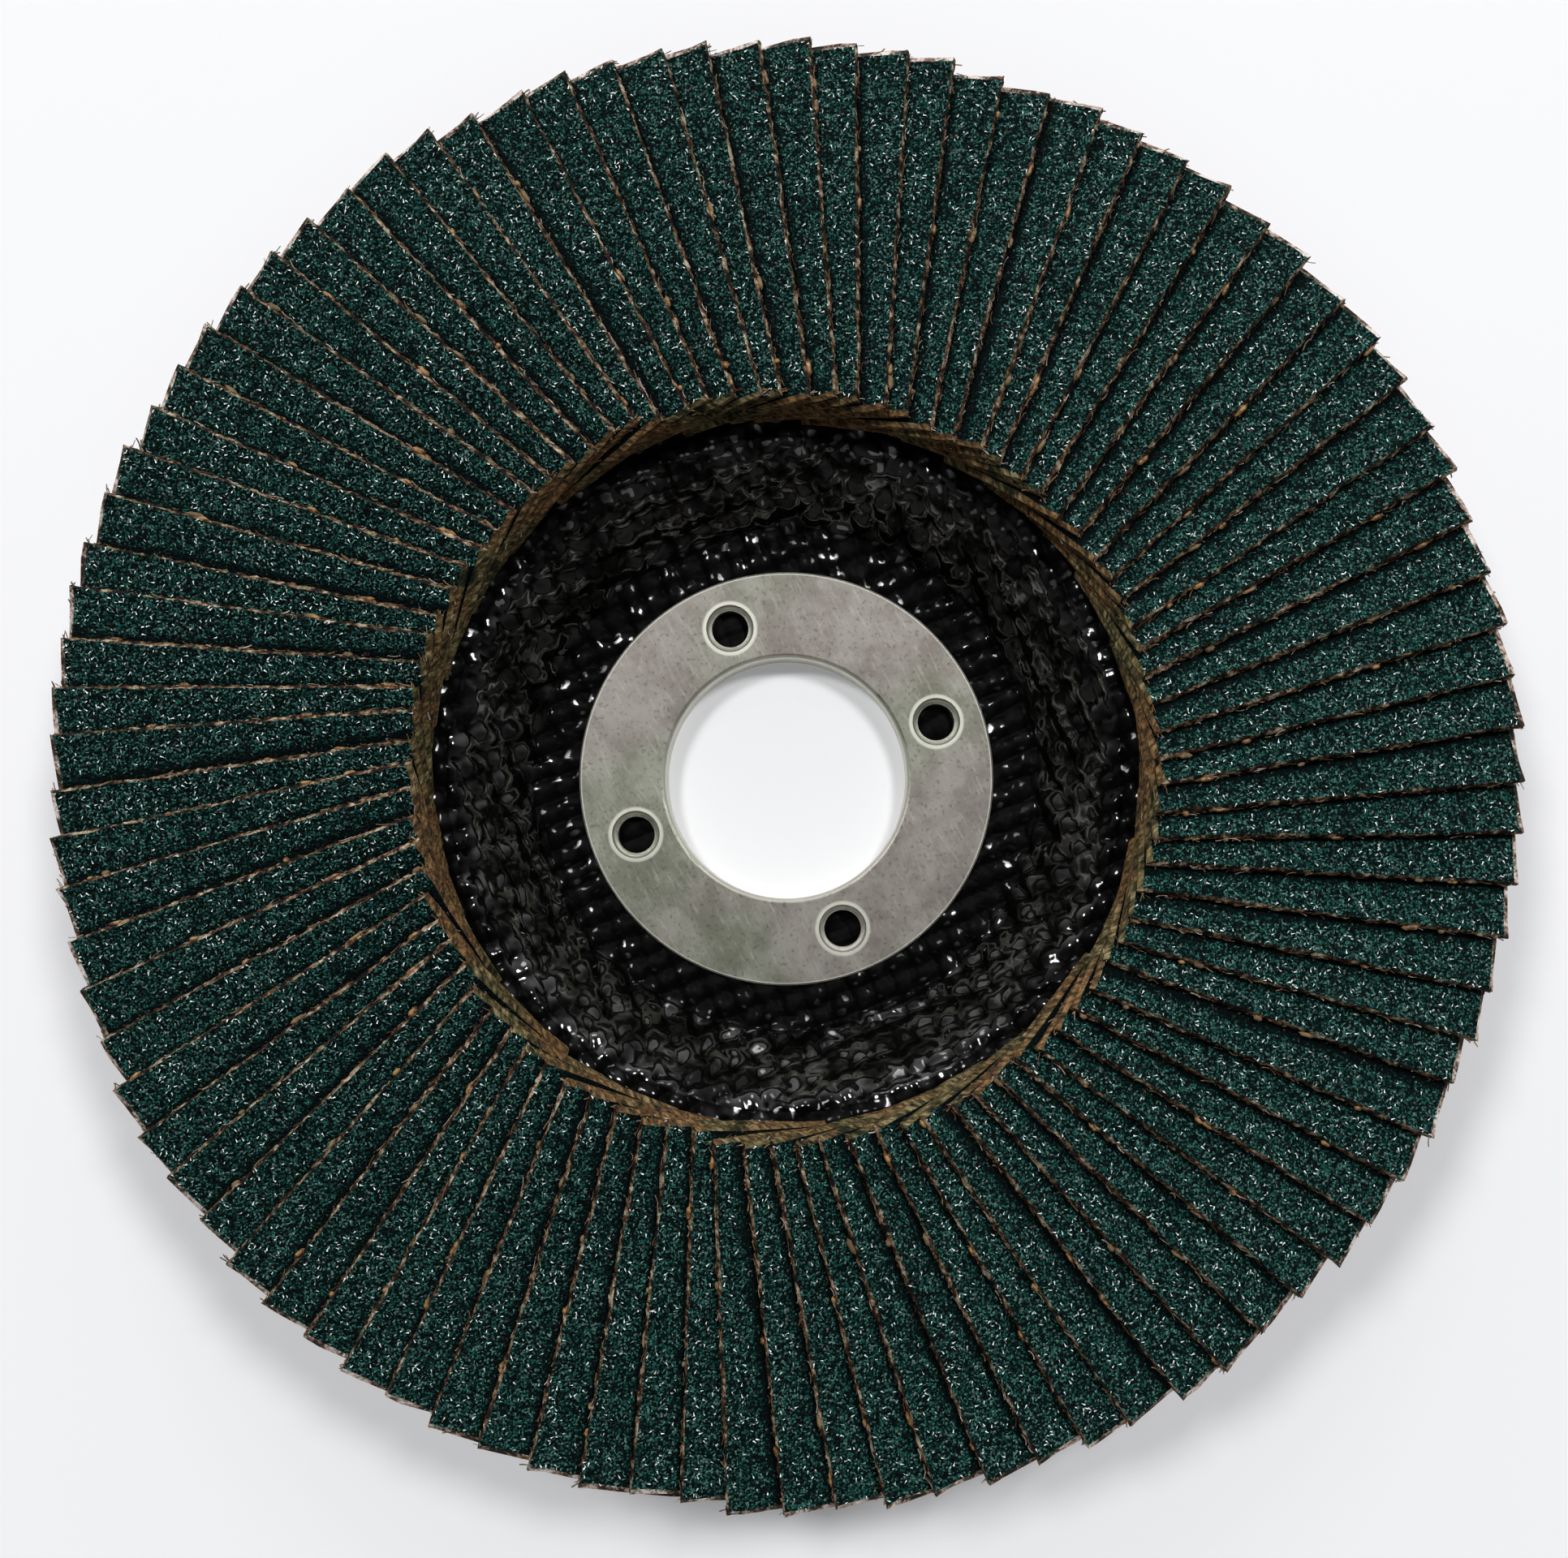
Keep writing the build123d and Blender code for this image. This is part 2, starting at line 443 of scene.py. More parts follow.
def zinc_plate():
    """Dull zinc on pressed steel: mottled, rubbed in fine lines, with painted highlights on the eyelets'
    lips and rims.
    """
    f = Finish("zinc_plate", (0.29, 0.285, 0.25), 0.5, metallic=0.85)
    place = f.place()
    x, y, z = f.parts(place)
    cloud = f.noise(place, 220.0, 4.0, 0.7)
    speck = f.noise(place, 2600.0, 2.0, 0.6)
    rubbed = f.vector((x + y * 0.5) * 3.0, (y - x * 0.5) * 0.5, z)
    streak = f.noise(rubbed, 900.0, 3.0, 0.7)
    warmth = f.noise(place, 60.0, 1.0).ease(0.42, 0.58)
    dull = f.mix(warmth, (0.19, 0.198, 0.152), (0.225, 0.204, 0.18))
    clean = f.mix(warmth, (0.3, 0.308, 0.255), (0.325, 0.305, 0.278))
    ground = f.mix(cloud.ease(0.34, 0.66), dull, clean)
    ground = f.mix(speck.ease(0.56, 0.7) * 0.5, ground, (0.09, 0.085, 0.065))
    ground = f.mix(streak.ease(0.52, 0.72) * 0.4, ground, (0.47, 0.46, 0.4))
    # painted highlights: pale bands on the eyelets' lips and on the ring's outer and bore rims
    off = eyelet_distance(x / MM, y / MM)
    lip = off.ease(EYELET_WALL - 0.45, EYELET_WALL - 0.3) * off.fall(EYELET_WALL + 0.1, EYELET_WALL + 0.35)
    out = from_axis(x, y) / MM
    outer_rim = out.ease(FLANGE_RADIUS - 0.3, FLANGE_RADIUS - 0.15)
    bore_rim = out.fall(BORE_RADIUS + 0.15, BORE_RADIUS + 0.35)
    painted_edge_highlight = (lip + (outer_rim + bore_rim)).least(1.0)
    f.set("Base Color", f.mix(painted_edge_highlight * 0.75, ground, (0.75, 0.75, 0.66)))
    f.set("Roughness", cloud * 0.15 + 0.4)
    f.bump(f.noise(place, 1500.0, 3.0), 0.12, 0.1)
    return f.material


def set_glue():
    """The set glue round the flaps' feet: dark and lumpy, with a soft shine."""
    f = Finish("set_glue", (0.02, 0.018, 0.016), 0.35)
    shade = f.noise(f.place(), 300.0, 3.0)
    f.set("Base Color", f.mix(shade.ease(0.3, 0.7), (0.006, 0.005, 0.004), (0.035, 0.026, 0.018)))
    f.bump(shade, 0.6, 0.4)
    return f.material


def floor_paint():
    """Matt white that keeps soft shadows, and shows paler to the eye and in mirrors."""
    f = Finish("floor_paint", (0.95, 0.95, 0.97), 0.95, specular=0.05)
    glow = f.node("ShaderNodeEmission", None, {"Color": (0.96, 0.98, 1.0, 1.0), "Strength": 1.0})
    to_eye = f.node("ShaderNodeLightPath", output="Is Camera Ray")
    seen = to_eye + to_eye.beside("Is Glossy Ray") + to_eye.beside("Is Transmission Ray")
    paint = Sum(f, f.shader.outputs["BSDF"])
    both = f.node("ShaderNodeMixShader", None, {0: seen.least(1.0) * FLOOR_GLOW, 1: paint, 2: glow})
    f.feed(f.tree.nodes["Material Output"].inputs["Surface"], both)
    return f.material


CLOTH_FINISHES = [
    bond_coat(),
    cut_cloth(),
    cloth_back(),
    yarn("yarn_tan", (0.27, 0.185, 0.095)),
    yarn("yarn_pale", (0.62, 0.52, 0.44)),
    yarn("yarn_red", (0.11, 0.045, 0.024)),
    resin_bead(),
    cut_end(),
]
CUT, BACK, TAN, PALE, RED, BEAD, END = range(1, 8)  # a face with no mark has the first, the bond coat

# what clings to the cut edges: each finish, and the share of the pieces up to and with it
EDGE_YARNS = ((TAN, 0.36), (PALE, 0.56), (RED, 1.01))
END_YARNS = ((TAN, 0.5), (PALE, 0.7), (RED, 0.8), (BEAD, 1.01))
EDGE_BEADS = ((BEAD, 0.7), (TAN, 1.01))

GRAIN_FINISHES = [
    grain("grain_black", (0.001, 0.006, 0.005), 0.4),
    grain("grain_deep", (0.005, 0.036, 0.03), 0.4),
    grain("grain_teal", (0.016, 0.108, 0.089), 0.4),
    grain("grain_grey", (0.07, 0.2, 0.17), 0.35),
    # near-white slivers: painted glints, standing in for light caught on broken crystal faces
    grain("grain_glint", (0.8, 0.9, 0.88), 0.3, 0.5),
]
GRAIN_TONES = (-9.0, 0.25, 0.44, 0.67, 0.905, 2.0)  # each finish has the tones between two of these
TUMBLED_TONES = 3  # these dark ones lie any way up, and the pale ones after them are flat slivers


# --- geometry trees ---
SCAFFOLD = ("finish", "grit_side", "flap_number")  # marks that only the trees read
HALF_TURN = 3.1  # near enough for what lies any way up
WHOLE_TURN = 6.3


class Growth(Graph):
    """A geometry tree that ends in real faces with their finishes on."""

    def __init__(self, name, sizes, takes_mesh=False):
        tree = bpy.data.node_groups.new(name, "GeometryNodeTree")
        super().__init__(tree)
        tree.interface.new_socket("Geometry", in_out="OUTPUT", socket_type="NodeSocketGeometry")
        if takes_mesh:
            tree.interface.new_socket("Geometry", in_out="INPUT", socket_type="NodeSocketGeometry")
        for label, value in sizes.items():
            kind = "NodeSocketInt" if isinstance(value, int) else "NodeSocketFloat"
            tree.interface.new_socket(label, in_out="INPUT", socket_type=kind).default_value = value
        self.inputs = tree.nodes.new("NodeGroupInput")

    def size(self, label):
        return Sum(self, self.inputs.outputs[label])

    def tagged(self, mesh, name, value, domain="POINT"):
        settings = {"data_type": "FLOAT", "domain": domain}
        sockets = {"Geometry": mesh, "Name": name, "Value": value}
        return self.node("GeometryNodeStoreNamedAttribute", settings, sockets)

    def read(self, name):
        return self.node("GeometryNodeInputNamedAttribute", {"data_type": "FLOAT"}, {"Name": name})

    def draw(self, low, high, stream):
        """A random number for each point; every stream of the tree's seed draws its own."""
        sockets = {2: low, 3: high, "Seed": self.size("Seed") + stream}
        return self.node("FunctionNodeRandomValue", {"data_type": "FLOAT"}, sockets, output=1)

    def turned(self, x, y, z):
        return self.node("FunctionNodeEulerToRotation", None, {0: self.vector(x, y, z)})

    def moved(self, mesh, offset=None, place=None):
        sockets = {"Geometry": mesh}
        if place is not None:
            sockets["Position"] = place
        if offset is not None:
            sockets["Offset"] = offset
        return self.node("GeometryNodeSetPosition", None, sockets)

    def placed(self, points, shape, turn, scale, chosen):
        sockets = {
            "Points": points,
            "Selection": chosen,
            "Instance": shape,
            "Rotation": turn,
            "Scale": scale,
        }
        return self.node("GeometryNodeInstanceOnPoints", None, sockets)

    def thread(self):
        """A bent thread, one unit long from end to end along X and 0.12 thick."""
        sweep = math.radians(70)
        reach = 0.5 / math.sin(sweep / 2)
        arc = {
            "Resolution": 5,
            "Radius": reach,
            "Start Angle": math.pi / 2 - sweep / 2,
            "Sweep Angle": sweep,
        }
        line = self.node("GeometryNodeCurveArc", None, arc)
        line = self.moved(line, offset=(0.0, -reach, 0.0))
        ring = self.node("GeometryNodeCurvePrimitiveCircle", None, {"Resolution": 3, "Radius": 0.06})
        sockets = {"Curve": line, "Profile Curve": ring, "Fill Caps": True}
        return self.node("GeometryNodeCurveToMesh", None, sockets)

    def bead(self):
        """A round bead, one unit across."""
        ball = {"Segments": 6, "Rings": 5, "Radius": 0.5}
        return self.node("GeometryNodeMeshUVSphere", None, ball)

    def crystal(self):
        """A three-sided splinter of grit, 1.8 units long."""
        cone = {"Vertices": 3, "Radius Top": 0.0, "Radius Bottom": 1.0, "Depth": 1.8}
        splinter = self.node("GeometryNodeMeshCone", {"fill_type": "NGON"}, cone)
        return self.moved(splinter, offset=(0.0, 0.0, -0.6))

    def strewn(self, points, shape, turn, long, thick, shares, stream):
        """Copies of a shape on the points, long and thick within two ranges in mm, in several finishes."""
        length = self.draw(*long, stream) * MM
        width = self.draw(*thick, stream + 1) * MM
        pick = self.draw(0.0, 1.0, stream + 2)
        scale = self.vector(length, width, width)
        copies = []
        low = 0.0
        for finish, high in shares:
            dressed = self.tagged(shape(), "finish", finish, "FACE")
            chosen = (pick > low) * (pick < high)
            copies.append(self.placed(points, dressed, turn, scale, chosen))
            low = high
        return copies

    def finish(self, shapes, finishes, smooth=False):
        """Joins the shapes, makes every copy real and puts each face's finish on."""
        mesh = self.node("GeometryNodeJoinGeometry", None, {0: shapes})
        mesh = self.node("GeometryNodeRealizeInstances", None, {0: mesh})
        if smooth:
            mesh = self.node("GeometryNodeSetShadeSmooth", None, {"Geometry": mesh})
        mark = self.read("finish")
        for number, material in enumerate(finishes):
            chosen = (mark - number).abs() < 0.5
            sockets = {"Geometry": mesh, "Selection": chosen, "Material": material}
            mesh = self.node("GeometryNodeSetMaterial", None, sockets)
        self.node("NodeGroupOutput", None, {0: mesh})


def grown(name, tree, mesh=None):
    """A piece of plain faces from what the tree makes."""
    seed = bpy.data.objects.new(name + "_seed", mesh or bpy.data.meshes.new(name + "_seed"))
    bpy.context.scene.collection.objects.link(seed)
    modifier = seed.modifiers.new("growth", "NODES")
    modifier.node_group = tree
    for socket in tree.interface.items_tree:
        if socket.in_out == "INPUT" and socket.socket_type != "NodeSocketGeometry":
            modifier[socket.identifier] = socket.default_value
    depsgraph = bpy.context.evaluated_depsgraph_get()
    made = bpy.data.meshes.new_from_object(seed.evaluated_get(depsgraph), depsgraph=depsgraph)
    made.name = name
    seed.modifiers.remove(modifier)
    bpy.data.objects.remove(seed)
    for mark in SCAFFOLD:
        if mark in made.attributes:
            made.attributes.remove(made.attributes[mark])
    piece = bpy.data.objects.new(name, made)
    bpy.context.scene.collection.objects.link(piece)
    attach(piece, "root")
    return piece


# --- the fan of flaps ---
def flap_width(number):
    """A flap's width, which carries the wander of its free edge."""
    return (number * number * 2.4).sin() * EDGE_SCATTER + FLAP_WIDTH


def flap_lean(reach):
    """How steeply a flap rises this far out: it lies on its neighbour, so it is flatter near the rim."""
    return math.asin((FLAP_THICKNESS + FLAP_CLEARANCE) / (reach * math.tan(PITCH))) + BOW


def flap_turn(number):
    """Where a flap lies round the disc: hand-set flaps crowd towards some sides."""
    even = number * PITCH
    drift = (even + CROWDING_START).sin() * CROWDING
    second_drift = (even * 2.0 + SECOND_CROWDING_START).sin() * SECOND_CROWDING
    return even + drift + second_drift + FIRST_FLAP_ANGLE


def across_flap(number, reach, across, height):
    """Sideways and upward place on the bent cut across a flap, this far out."""
    lean = flap_lean(reach)
    foot_angle = math.pi / 2 - lean - BOW
    bend_radius = flap_width(number) / (2 * math.sin(BOW))
    angle = foot_angle + 2 * BOW - across / bend_radius
    spoke = bend_radius + height
    sideways = spoke * angle.cos() - bend_radius * math.cos(foot_angle)
    sideways = sideways + FLAP_WIDTH * math.cos(lean) - EDGE_OFFSET
    rise = spoke * angle.sin() - bend_radius * math.sin(foot_angle) + FOOT_Z
    return sideways, rise


def flap_place(g, number, along, across, height):
    """A place on a flap: along is 0 to 1 outwards, across and height are in mm.

    across starts at the free edge, and height at the back of the cloth.
    """
    inner_side, inner_rise = across_flap(number, INNER_REACH, across, height)
    outer_side, outer_rise = across_flap(number, OUTER_REACH, across, height)
    sideways = inner_side + (outer_side - inner_side) * along
    rise = inner_rise + (outer_rise - inner_rise) * along
    reach = (number * number * 1.7 + 1.0).sin() * REACH_SCATTER + along * FLAP_LENGTH + INNER_REACH
    turn = flap_turn(number)
    x = reach * turn.cos() - sideways * turn.sin()
    y = reach * turn.sin() + sideways * turn.cos()
    return g.vector(x * MM, y * MM, rise * MM)


SHOWN_SHARE = math.tan(PITCH) / math.cos(flap_lean(INNER_REACH))  # of the reach: the part not overlapped
OUTERMOST = 0.499  # on a block one unit across, only its outer faces lie past this
CLOTH_TOP = 0.3  # up the same block: the grit is above this, the cloth below
GRIT_SWELL = 0.3 * MM  # how far the coat of grains rises and falls
SLIVER_LIFT = 0.06 * MM
SLIVER_WIDTH = 0.38  # as a share of its length
EDGE_WEAR = {  # in mm, but for the end fray, which is a share of the flap's length
    "Edge Lift": 0.28,
    "Edge Band": 2.5,
    "Wave Rise": 0.35,
    "Wave Sideways": 0.5,
    "Cloth Fray": 0.45,
    "Grit Fray": 0.2,
    "End Fray": 0.026,
}


def cloth_strips(g, number):
    """The flaps of one sector as strips of cloth with a plain coat of resin on the working side."""
    index = g.node("GeometryNodeInputIndex")
    block = {
        "Size": (1.0, 1.0, 1.0),
        "Vertices X": g.size("Steps Along"),
        "Vertices Y": g.size("Steps Across"),
        "Vertices Z": 4,
    }
    strip = g.node("GeometryNodeMeshCube", None, block)
    normal_x, _, normal_z = g.parts(g.node("GeometryNodeInputNormal"))
    unit_x, unit_y, unit_z = g.parts(g.node("GeometryNodeInputPosition"))
    sides = normal_z.abs() < 0.5
    ends = normal_x.abs() > 0.5
    marks = sides * CUT + ends * (END - CUT) + (normal_z < -0.5) * BACK
    strip = g.tagged(strip, "finish", marks, "FACE")
    strip = g.tagged(strip, "grit_side", normal_z > 0.5, "FACE")
    roots = g.node("GeometryNodePoints", None, {"Count": g.size("Flap Count")})
    roots = g.tagged(roots, "flap_number", index + g.size("First Flap"))
    strips = g.node("GeometryNodeInstanceOnPoints", None, {"Points": roots, "Instance": strip})
    strips = g.node("GeometryNodeRealizeInstances", None, {0: strips})

    along = unit_x + 0.5
    across = (0.5 - unit_y) ** 1.6 * flap_width(number)  # the rows crowd towards the free edge
    shown = (along * FLAP_LENGTH + INNER_REACH) * SHOWN_SHARE
    # how far each place lies from where the next flap covers it; the grains and the bond paint crevice
    # shade from this
    strips = g.tagged(strips, "crevice_gap", shown - across)

    def ripple(run, waves, flap_step, layer_step, detail, roughness=0.5):
        """Noise along a cut, from -0.5 to 0.5, that differs from flap to flap and from layer to layer."""
        spot = g.vector(run * waves, number * flap_step, unit_z * layer_step)
        return g.noise(spot, 1.0, detail, roughness) - 0.5

    wave = ripple(along, 9.0, 13.7, 0.8, 3.0, 0.6)
    edge_fray = ripple(along, 70.0, 7.1, 2.0, 2.0)
    end_fray = ripple(unit_y, 30.0, 5.3, 2.0, 2.0)
    cloth_layers = unit_z < CLOTH_TOP
    cloth_bulge = cloth_layers * (edge_fray * g.size("Cloth Fray") + g.size("Cloth Proud"))
    edge_bulge = (unit_y > OUTERMOST) * (cloth_bulge + edge_fray * g.size("Grit Fray"))
    end_proud = cloth_layers * g.size("End Proud") / FLAP_LENGTH
    end_bulge = (unit_x.abs() > OUTERMOST) * (end_fray * g.size("End Fray") + end_proud)
    outwards = 2.0 * (unit_x > 0.0) - 1.0
    near_edge = across.fall(0.0, g.size("Edge Band"))
    lift = (wave * g.size("Wave Rise") + g.size("Edge Lift")) * near_edge
    place = flap_place(
        g,
        number,
        along + end_bulge * outwards,
        across + near_edge * wave * g.size("Wave Sideways") - edge_bulge,
        (unit_z + 0.5) * FLAP_THICKNESS + lift,
    )
    return g.moved(strips, place=place)


def grow_cloth(sector):
    """The tree for one sector's cloth: the strips, and the yarn and resin along their cut edges."""
    sizes = {
        "First Flap": sector * FLAPS_PER_SECTOR,
        "Flap Count": FLAPS_PER_SECTOR,
        "Steps Along": 90,
        "Steps Across": 5,
        "Cloth Proud": 0.09,
        "End Proud": 0.42,
        **EDGE_WEAR,
        "Edge Threads": 40,
        "End Threads": 28,
        "End Reach": 9.0,
        "Well Share": 0.6,
        "Beads": 2,
        "Seed": 11 + sector,
    }
    g = Growth(f"cloth_growth_{sector + 1}", sizes)
    index = g.node("GeometryNodeInputIndex")
    number = g.read("flap_number")
    turn = flap_turn(number)
    shapes = [cloth_strips(g, number)]

    def spots(label, along, across, height):
        """Points on each flap of the sector, as many as the label's size says."""
        points = g.node("GeometryNodePoints", None, {"Count": g.size("Flap Count") * g.size(label)})
        owner = (index / g.size(label)).floor() + g.size("First Flap")
        points = g.tagged(points, "flap_number", owner)
        return g.moved(points, place=flap_place(g, number, along, across, height))

    # threads along the free edge
    along = g.draw(0.0, 1.0, 1)
    points = spots("Edge Threads", along, g.draw(-0.2, 0.05, 2), g.draw(0.1, 0.65, 3))
    roll = g.draw(-HALF_TURN, HALF_TURN, 4)
    lie = g.turned(roll, g.draw(-0.25, 0.25, 5), turn + g.draw(-0.35, 0.35, 6))
    shapes += g.strewn(points, g.thread, lie, (0.4, 1.3), (0.4, 1.15), EDGE_YARNS, 7)

    # threads across the cut ends, some round the well and the others at the rim
    at_well = g.draw(0.0, 1.0, 10) < g.size("Well Share")
    jitter = g.draw(-0.35, 0.15, 11) / FLAP_LENGTH
    along = at_well * jitter + (1.0 - at_well) * (1.0 - jitter)
    across = g.draw(0.0, 1.0, 12) ** 1.7 * g.size("End Reach")
    points = spots("End Threads", along, across, g.draw(0.0, 0.6, 13))
    roll = g.draw(-HALF_TURN, HALF_TURN, 14)
    slant = g.draw(-0.35, 0.35, 15) - flap_lean(INNER_REACH)
    lie = g.turned(roll, slant, turn - math.pi / 2 + g.draw(-0.4, 0.4, 16))
    shapes += g.strewn(points, g.thread, lie, (0.6, 1.9), (0.5, 1.2), END_YARNS, 17)

    # beads of resin along the free edge
    points = spots("Beads", g.draw(0.0, 1.0, 20), g.draw(-0.25, -0.1, 21), CLOTH)
    lie = g.turned(0.0, 0.0, turn + g.draw(-0.2, 0.2, 22))
    shapes += g.strewn(points, g.bead, lie, (0.5, 1.8), (0.35, 0.6), EDGE_BEADS, 23)

    g.finish(shapes, CLOTH_FINISHES)
    return g.tree


def grow_grit(sector):
    """The tree for one sector's abrasive: broken grains of several tones, set close in the resin."""
    sizes = {
        "First Flap": sector * FLAPS_PER_SECTOR,
        "Flap Count": FLAPS_PER_SECTOR,
        "Steps Along": 72,
        "Steps Across": 6,
        "Cloth Proud": 0.0,
        "End Proud": 0.0,
        **EDGE_WEAR,
        "Hidden Margin": 0.4,
        "Grain Spacing": 0.235,
        "Grain Size": 0.17,
        "Seed": 51 + sector,
    }
    g = Growth(f"grit_growth_{sector + 1}", sizes)
    in_sight = g.read("crevice_gap") > 0.0 - g.size("Hidden Margin")
    spread = {
        "Mesh": cloth_strips(g, g.read("flap_number")),
        "Selection": g.read("grit_side") * in_sight,
        "Distance Min": g.size("Grain Spacing") * MM,
        "Density Max": 40.0e6,
        "Density Factor": 1.0,
        "Seed": g.size("Seed"),
    }
    grains = g.node("GeometryNodeDistributePointsOnFaces", {"distribute_method": "POISSON"}, spread)
    place = g.node("GeometryNodeInputPosition")
    swell = g.noise(place, 800.0, 1.0) - 0.5
    grains = g.moved(grains, offset=g.vector(0.0, 0.0, swell * GRIT_SWELL))
    patch = g.noise(place, 1100.0, 1.0) - 0.5
    # the grains turn darker towards the next flap's edge: painted shade of the crevice
    tone = grit_tone_and_painted_shade(g.draw(0.0, 1.0, 1), patch, g.read("crevice_gap"))

    roll = g.draw(0.0, WHOLE_TURN, 2)
    spin = g.draw(0.0, WHOLE_TURN, 4)
    tumbled = g.turned(roll, g.draw(0.0, WHOLE_TURN, 3), spin)
    lying = g.turned(roll, math.pi / 2 + g.draw(-0.6, 0.6, 3), spin)
    size = g.draw(0.75, 1.3, 5) * g.size("Grain Size") * MM
    flat = g.draw(0.45, 0.8, 6)
    chunk = g.vector(size * flat, size * flat, size)
    sliver = g.vector(size * SLIVER_WIDTH, size * SLIVER_WIDTH, size)
    raised = g.moved(grains, offset=(0.0, 0.0, SLIVER_LIFT))
    shapes = []
    for finish in range(len(GRAIN_FINISHES)):
        crystal = g.tagged(g.crystal(), "finish", finish, "FACE")
        chosen = (tone > GRAIN_TONES[finish]) * (tone < GRAIN_TONES[finish + 1])
        if finish < TUMBLED_TONES:
            shapes.append(g.placed(grains, crystal, tumbled, chunk, chosen))
        else:
            shapes.append(g.placed(raised, crystal, lying, sliver, chosen))
    g.finish(shapes, GRAIN_FINISHES)
    return g.tree


def flap_fan():
    nodes_per_sector = FLAPS_PER_SECTOR // FLAPS_PER_NODE
    for sector in range(SECTORS):
        cloth = grown(f"flap_cloth_{sector + 1}", grow_cloth(sector))
        first = sector * nodes_per_sector
        for node in range(first, first + nodes_per_sector):
            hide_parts(f"flap_pair_{node + 1:02d}")
        grit = grown(f"flap_grit_{sector + 1}", grow_grit(sector))


# --- the woven plate ---
ARC_POINTS = 7  # on each bend of the outline
PLATE_STEPS = 600  # round the plate
HUB_ROWS = 0.5  # mm between the rows of its skin
WELL_ROWS = 0.25
COVERED_ROWS = 3.5
BACK_ROWS = 0.95


def bent_line(corners, radii, step):
    """Points along a line with rounded corners, about as far apart as step says for each radius."""
    points = []
    for number, (corner, radius) in enumerate(zip(corners, radii)):
        corner = np.array(corner)
        if radius:
            before = np.array(corners[number - 1]) - corner
            after = np.array(corners[number + 1]) - corner
            before /= np.linalg.norm(before)
            after /= np.linalg.norm(after)
            half = math.acos(float(before @ after)) / 2
            middle = corner + (before + after) / np.linalg.norm(before + after) * radius / math.sin(half)
            start = corner + before * radius / math.tan(half) - middle
            end = corner + after * radius / math.tan(half) - middle
            for share in np.linspace(0, 1, ARC_POINTS):
                spoke = start * (1 - share) + end * share
                points.append(middle + spoke / np.linalg.norm(spoke) * radius)
        else:
            points.append(corner)
    line = [points[0]]
    for point in points[1:]:
        run = np.linalg.norm(point - line[-1])
        count = max(1, round(run / step((point[0] + line[-1][0]) / 2)))
        start = line[-1]
        line += [start + (point - start) * (k + 1) / count for k in range(count)]
    return line


def lathe(name, outline, steps):
    """A closed skin turned from an outline of (radius, height) points in mm."""
    turn = np.linspace(0, 2 * math.pi, steps, endpoint=False)
    radius = np.array([p[0] for p in outline])[:, None]
    height = np.array([p[1] for p in outline])[:, None] + np.zeros(steps)
    points = np.stack([radius * np.cos(turn), radius * np.sin(turn), height], 2).reshape(-1, 3) * MM
    rows = len(outline)
    faces = []
    for row in range(rows):
        this, following = row * steps, (row + 1) % rows * steps
        for step in range(steps):
            side = (step + 1) % steps
            faces.append((this + step, following + step, following + side, this + side))
    mesh = bpy.data.meshes.new(name)
    mesh.from_pydata(points.tolist(), [], faces)
    return mesh


def front_step(radius):
    """Close rows where the well shows, wider under the ring and far wider under the flaps."""
    if radius < FLANGE_RADIUS - 1:
        return HUB_ROWS
    return WELL_ROWS if radius < INNER_REACH + 1 else COVERED_ROWS


def back_step(radius):
    """Even rows on the back, whatever the radius."""
    return BACK_ROWS


def plate_skin():
    """The plate's outline as the CAD has it: front from the bore outwards, round the rim and back in."""
    bend_shift = PLATE * math.tan(STEP_ANGLE / 2)
    back_seat = SEAT_Z - PLATE
    outside_bend = STEP_BEND + PLATE
    corners = [
        (PLATE_BORE, PLATE),
        (HUB_FLAT_RADIUS, PLATE),
        (STEP_TOP_RADIUS, SEAT_Z),
        (PLATE_RADIUS - RIM_CHAMFER, SEAT_Z),
        (PLATE_RADIUS, SEAT_Z - RIM_CHAMFER),
        (PLATE_RADIUS, back_seat + RIM_CHAMFER),
        (PLATE_RADIUS - RIM_CHAMFER, back_seat),
        (STEP_TOP_RADIUS + bend_shift, back_seat),
        (HUB_FLAT_RADIUS + bend_shift, 0.0),
        (PLATE_BORE, 0.0),
    ]
    radii = [0, STEP_BEND, outside_bend, 0, 0, 0, 0, STEP_BEND, outside_bend, 0]
    back_from = corners.index((PLATE_RADIUS - RIM_CHAMFER, back_seat))
    front = bent_line(corners[: back_from + 1], radii[: back_from + 1], front_step)
    back = bent_line(corners[back_from:], radii[back_from:], back_step)
    outline = front + back[1:] + [(PLATE_BORE, PLATE / 2)]
    return lathe("plate_skin", outline, PLATE_STEPS)


def yarn_tops(across, along, start):
    """Round yarns that rise and dip by turns as they pass over and under the others."""
    strand = across.floor()
    off = (across - strand - 0.5) * 2.05  # over 2, so that the yarns part
    round_top = (1.0 - off * off).most(0.0)
    wave = ((along - 0.5 + strand + start) * math.pi).cos()
    return round_top * 0.55 + wave * 0.45


